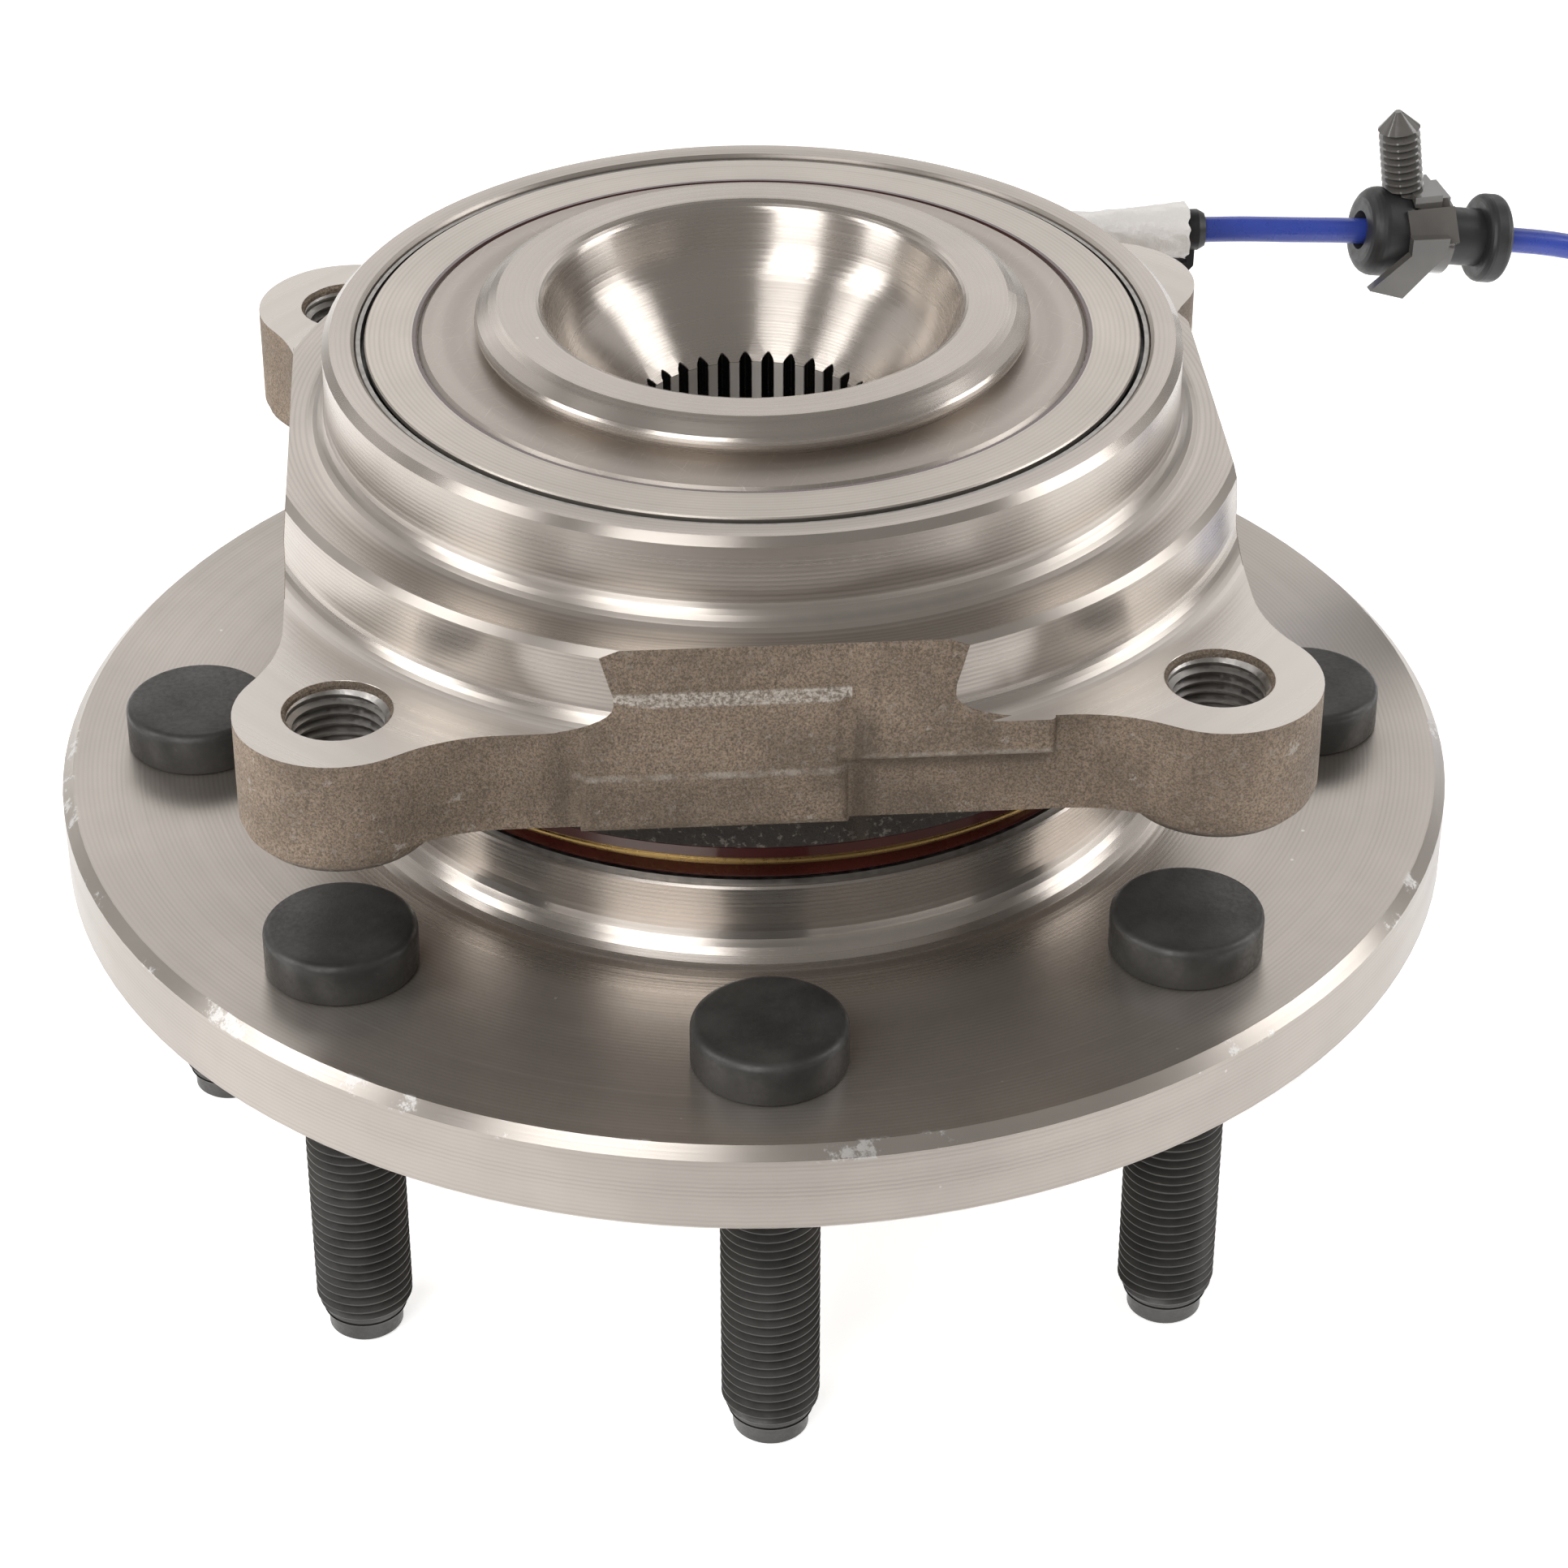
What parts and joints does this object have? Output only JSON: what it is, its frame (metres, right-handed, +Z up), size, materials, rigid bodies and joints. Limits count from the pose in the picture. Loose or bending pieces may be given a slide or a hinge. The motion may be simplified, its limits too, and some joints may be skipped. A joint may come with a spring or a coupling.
{
  "type": "wheel hub",
  "caption": "Front wheel hub and tapered roller bearing unit with wheel studs, a bolt-on outer ring and a speed sensor on a lead.",
  "frame": {"origin": "on the hub's axis, at the surface that the stud tips stand on", "axes": "+Z up along the hub's axis, from the wheel side to the vehicle side; the speed sensor is on the +Y side and its lead leaves towards +X"},
  "size_m": [0.3407, 0.2227, 0.1364],
  "materials": {
    "forged_ring": "raw forging with bright turned faces",
    "machined_hub": "turned",
    "black_stud": "black phosphate",
    "bearing_ring": "hardened, worn grey",
    "tone_ring": "sintered",
    "roller": "ground",
    "cage": "pressed",
    "seal_case": "satin",
    "seal_rubber": "satin",
    "slinger": "brushed",
    "brown_rubber": "glossy",
    "gold_case": "yellow zinc plate",
    "black_plastic": "satin",
    "terminal_brass": "tinned",
    "zinc_screw": "zinc plate",
    "blue_lead": "satin",
    "foil": "crinkled foil",
    "grey_plastic": "satin",
    "blue_seal": "satin",
    "pale_plastic": "satin"
  },
  "bodies": {
    "outer_ring": {"outer_ring": "forged_ring", "seal_case_inboard": "seal_case", "seal_lip_inboard": "seal_rubber", "seal_case_outboard": "gold_case", "seal_lip_outboard": "brown_rubber", "seal_gasket": "brown_rubber", "sensor_body": "black_plastic", "sensor_tip": "tone_ring", "sensor_o_ring": "seal_rubber", "sensor_bush": "terminal_brass", "sensor_screw": "zinc_screw", "sleeve_lead": "blue_lead", "foil_sleeve": "foil", "sleeve_boot": "seal_rubber", "sensor_lead": "blue_lead", "grommet": "seal_rubber", "clip": "black_plastic", "lead_coil": "blue_lead", "coil_tie": "black_plastic", "plug_housing": "grey_plastic", "plug_seal": "blue_seal", "plug_latch": "pale_plastic", "plug_terminals": "terminal_brass"},
    "hub": {"hub_flange": "machined_hub", "wheel_studs": "black_stud", "inner_ring_inboard": "bearing_ring", "inner_ring_outboard": "bearing_ring", "tone_ring": "tone_ring", "slinger_inboard": "slinger", "slinger_bead": "brown_rubber", "slinger_outboard": "slinger"},
    "row_inboard": {"cage_inboard": "cage", "rollers_inboard": "roller"},
    "row_outboard": {"cage_outboard": "cage", "rollers_outboard": "roller"}
  },
  "joints": [
    {"name": "hub_spin", "type": "hinge", "parent": "outer_ring", "child": "hub", "pos_m": [0, 0, 0.107], "axis": [0, 0, 1], "continuous": true},
    {"name": "row_inboard_spin", "type": "hinge", "parent": "outer_ring", "child": "row_inboard", "pos_m": [0, 0, 0.119], "axis": [0, 0, 1], "continuous": true},
    {"name": "row_outboard_spin", "type": "hinge", "parent": "outer_ring", "child": "row_outboard", "pos_m": [0, 0, 0.095], "axis": [0, 0, 1], "continuous": true}
  ],
  "couplings": [
    {"joint": "row_inboard_spin", "follows": "hub_spin", "ratio": 0.457},
    {"joint": "row_outboard_spin", "follows": "hub_spin", "ratio": 0.457}
  ]
}
